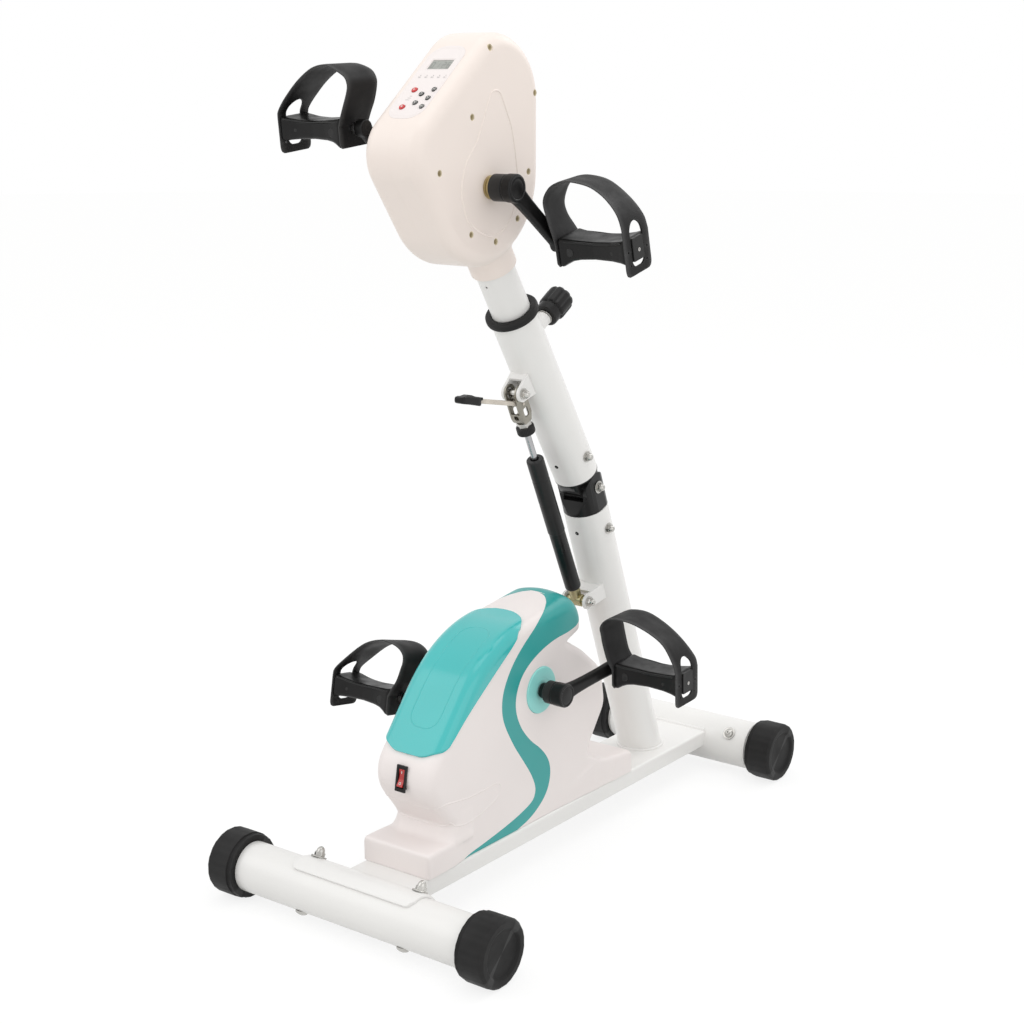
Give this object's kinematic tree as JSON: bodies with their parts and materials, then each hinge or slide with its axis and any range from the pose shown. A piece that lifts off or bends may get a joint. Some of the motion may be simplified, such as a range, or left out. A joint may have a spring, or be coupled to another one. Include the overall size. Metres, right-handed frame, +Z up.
{
  "type": "limb rehabilitation machine",
  "caption": "Floor-standing motor exerciser with foot cranks on a teal-trimmed base unit and hand cranks on a console carried by a tilting, height-adjustable mast.",
  "frame": {"origin": "on the floor, midway between the two foot tubes, on the machine's middle plane", "axes": "+Y toward the rear foot, +X toward the machine's right side, +Z up"},
  "size_m": [0.408, 0.778, 0.9893],
  "materials": {
    "white_powder_coat": "satin white powder coat",
    "cream_housing": "fine satin moulded plastic",
    "teal_panel": "glossy",
    "pale_teal_disc": "satin",
    "black_plastic": "satin",
    "black_rubber": "matte",
    "black_steel": "satin black paint",
    "zinc": "bright zinc plating",
    "brass": "satin",
    "red_plastic": "glossy",
    "grey_plastic": "satin",
    "machined_steel": "machined"
  },
  "bodies": {
    "base": {"base_frame": "white_powder_coat", "front_foot_tube": "white_powder_coat", "rear_foot_tube": "white_powder_coat", "front_foot_cap_left": "black_rubber", "front_foot_cap_right": "black_rubber", "rear_foot_cap_left": "black_rubber", "rear_foot_cap_right": "black_rubber", "lower_post": "white_powder_coat", "post_knuckle": "black_steel", "pivot_bolt": "zinc", "spring_pin_lower": "zinc", "cover_left": "cream_housing", "cover_right": "cream_housing", "cover_top_panel": "teal_panel", "switch_bezel": "black_plastic", "hub_disc_left": "pale_teal_disc", "hub_disc_right": "pale_teal_disc", "lower_motor": "black_steel", "lower_belt": "black_rubber"},
    "mast": {"mast_outer_tube": "white_powder_coat", "mast_knuckle": "black_steel", "mast_collar_ring": "black_plastic", "spring_pin_upper": "zinc"},
    "console": {"mast_inner_tube": "white_powder_coat", "console_left": "cream_housing", "console_right": "cream_housing", "control_panel": "cream_housing", "upper_motor": "black_steel", "upper_belt": "black_rubber", "upper_bush_left": "brass", "upper_bush_right": "brass"},
    "spring_cylinder": {"gas_spring_cylinder": "black_steel"},
    "spring_rod": {"gas_spring_rod": "zinc", "release_head": "zinc"},
    "lever": {"release_lever": "black_plastic"},
    "knob": {"clamp_knob": "black_plastic"},
    "upper_crank": {"upper_spindle": "machined_steel", "upper_crank_left": "black_steel", "upper_crank_right": "black_steel"},
    "upper_rotor": {"upper_motor_pulley": "machined_steel"},
    "lower_crank": {"lower_spindle": "machined_steel", "lower_crank_left": "black_steel", "lower_crank_right": "black_steel"},
    "lower_rotor": {"lower_motor_pulley": "machined_steel"},
    "rocker": {"rocker_switch": "red_plastic"},
    "upper_pedal_left_body": {"upper_pedal_left": "black_plastic", "upper_strap_left": "black_rubber"},
    "upper_pedal_right_body": {"upper_pedal_right": "black_plastic", "upper_strap_right": "black_rubber"},
    "lower_pedal_left_body": {"lower_pedal_left": "black_plastic", "lower_strap_left": "black_rubber"},
    "lower_pedal_right_body": {"lower_pedal_right": "black_plastic", "lower_strap_right": "black_rubber"},
    "start_button_key": {"start_button": "red_plastic"},
    "stop_button_key": {"stop_button": "red_plastic"},
    "mode_button_key": {"mode_button": "grey_plastic"},
    "time_button_key": {"time_button": "grey_plastic"},
    "speed_up_button_key": {"speed_up_button": "grey_plastic"},
    "speed_down_button_key": {"speed_down_button": "grey_plastic"},
    "direction_button_key": {"direction_button": "grey_plastic"}
  },
  "joints": [
    {"name": "mast_tilt", "type": "hinge", "parent": "base", "child": "mast", "pos_m": [0, 0.0786, 0.4453], "axis": [1, 0, 0], "range_deg": [-8, 18]},
    {"name": "mast_height", "type": "slide", "parent": "mast", "child": "console", "axis": [0, -0.5284, 0.849], "range_m": [-0.05, 0.1]},
    {"name": "spring_swing", "type": "hinge", "parent": "base", "child": "spring_cylinder", "pos_m": [0, 0.0735, 0.296], "axis": [1, 0, 0], "range_deg": [-5, 11]},
    {"name": "spring_stroke", "type": "slide", "parent": "spring_cylinder", "child": "spring_rod", "axis": [0, -0.423, 0.9062], "range_m": [-0.0245, 0.0115]},
    {"name": "release_lever_squeeze", "type": "hinge", "parent": "spring_rod", "child": "lever", "pos_m": [0, -0.05293, 0.56686], "axis": [1, 0, 0], "range_deg": [0, 12], "stiffness_Nm_per_rad": 0.4},
    {"name": "clamp_knob_turn", "type": "hinge", "parent": "mast", "child": "knob", "pos_m": [0, 0.00161, 0.66417], "axis": [0, 0.849, 0.5284], "range_deg": [-180, 180]},
    {"name": "upper_crank_turn", "type": "hinge", "parent": "console", "child": "upper_crank", "pos_m": [0, -0.15766, 0.82488], "axis": [1, 0, 0], "continuous": true},
    {"name": "upper_rotor_turn", "type": "hinge", "parent": "console", "child": "upper_rotor", "pos_m": [0, -0.13513, 0.90486], "axis": [1, 0, 0], "continuous": true},
    {"name": "upper_pedal_left_turn", "type": "hinge", "parent": "upper_crank", "child": "upper_pedal_left_body", "pos_m": [-0.088, -0.21967, 0.88732], "axis": [1, 0, 0], "continuous": true},
    {"name": "upper_pedal_right_turn", "type": "hinge", "parent": "upper_crank", "child": "upper_pedal_right_body", "pos_m": [0.088, -0.09566, 0.76243], "axis": [1, 0, 0], "continuous": true},
    {"name": "lower_crank_turn", "type": "hinge", "parent": "base", "child": "lower_crank", "pos_m": [0, -0.0647, 0.2222], "axis": [1, 0, 0], "continuous": true},
    {"name": "lower_rotor_turn", "type": "hinge", "parent": "base", "child": "lower_rotor", "pos_m": [0, 0.005, 0.175], "axis": [1, 0, 0], "continuous": true},
    {"name": "lower_pedal_left_turn", "type": "hinge", "parent": "lower_crank", "child": "lower_pedal_left_body", "pos_m": [-0.092, -0.15093, 0.20466], "axis": [1, 0, 0], "continuous": true},
    {"name": "lower_pedal_right_turn", "type": "hinge", "parent": "lower_crank", "child": "lower_pedal_right_body", "pos_m": [0.092, 0.02153, 0.23974], "axis": [1, 0, 0], "continuous": true},
    {"name": "rocker_switch_tip", "type": "hinge", "parent": "base", "child": "rocker", "pos_m": [0, -0.26967, 0.16339], "axis": [1, 0, 0], "range_deg": [0, 14]},
    {"name": "start_button_press", "type": "slide", "parent": "console", "child": "start_button_key", "axis": [0, 0.6396, -0.7687], "range_m": [0, 0.001], "stiffness_N_per_m": 150},
    {"name": "stop_button_press", "type": "slide", "parent": "console", "child": "stop_button_key", "axis": [0, 0.6396, -0.7687], "range_m": [0, 0.001], "stiffness_N_per_m": 150},
    {"name": "mode_button_press", "type": "slide", "parent": "console", "child": "mode_button_key", "axis": [0, 0.6396, -0.7687], "range_m": [0, 0.001], "stiffness_N_per_m": 150},
    {"name": "time_button_press", "type": "slide", "parent": "console", "child": "time_button_key", "axis": [0, 0.6396, -0.7687], "range_m": [0, 0.001], "stiffness_N_per_m": 150},
    {"name": "speed_up_button_press", "type": "slide", "parent": "console", "child": "speed_up_button_key", "axis": [0, 0.6396, -0.7687], "range_m": [0, 0.001], "stiffness_N_per_m": 150},
    {"name": "speed_down_button_press", "type": "slide", "parent": "console", "child": "speed_down_button_key", "axis": [0, 0.6396, -0.7687], "range_m": [0, 0.001], "stiffness_N_per_m": 150},
    {"name": "direction_button_press", "type": "slide", "parent": "console", "child": "direction_button_key", "axis": [0, 0.6396, -0.7687], "range_m": [0, 0.001], "stiffness_N_per_m": 150}
  ],
  "couplings": [
    {"joint": "spring_swing", "follows": "mast_tilt", "ratio": 0.58},
    {"joint": "spring_stroke", "follows": "mast_tilt", "m_per_rad": -0.0742},
    {"joint": "upper_rotor_turn", "follows": "upper_crank_turn", "ratio": 3.6},
    {"joint": "lower_rotor_turn", "follows": "lower_crank_turn", "ratio": 3.6}
  ]
}
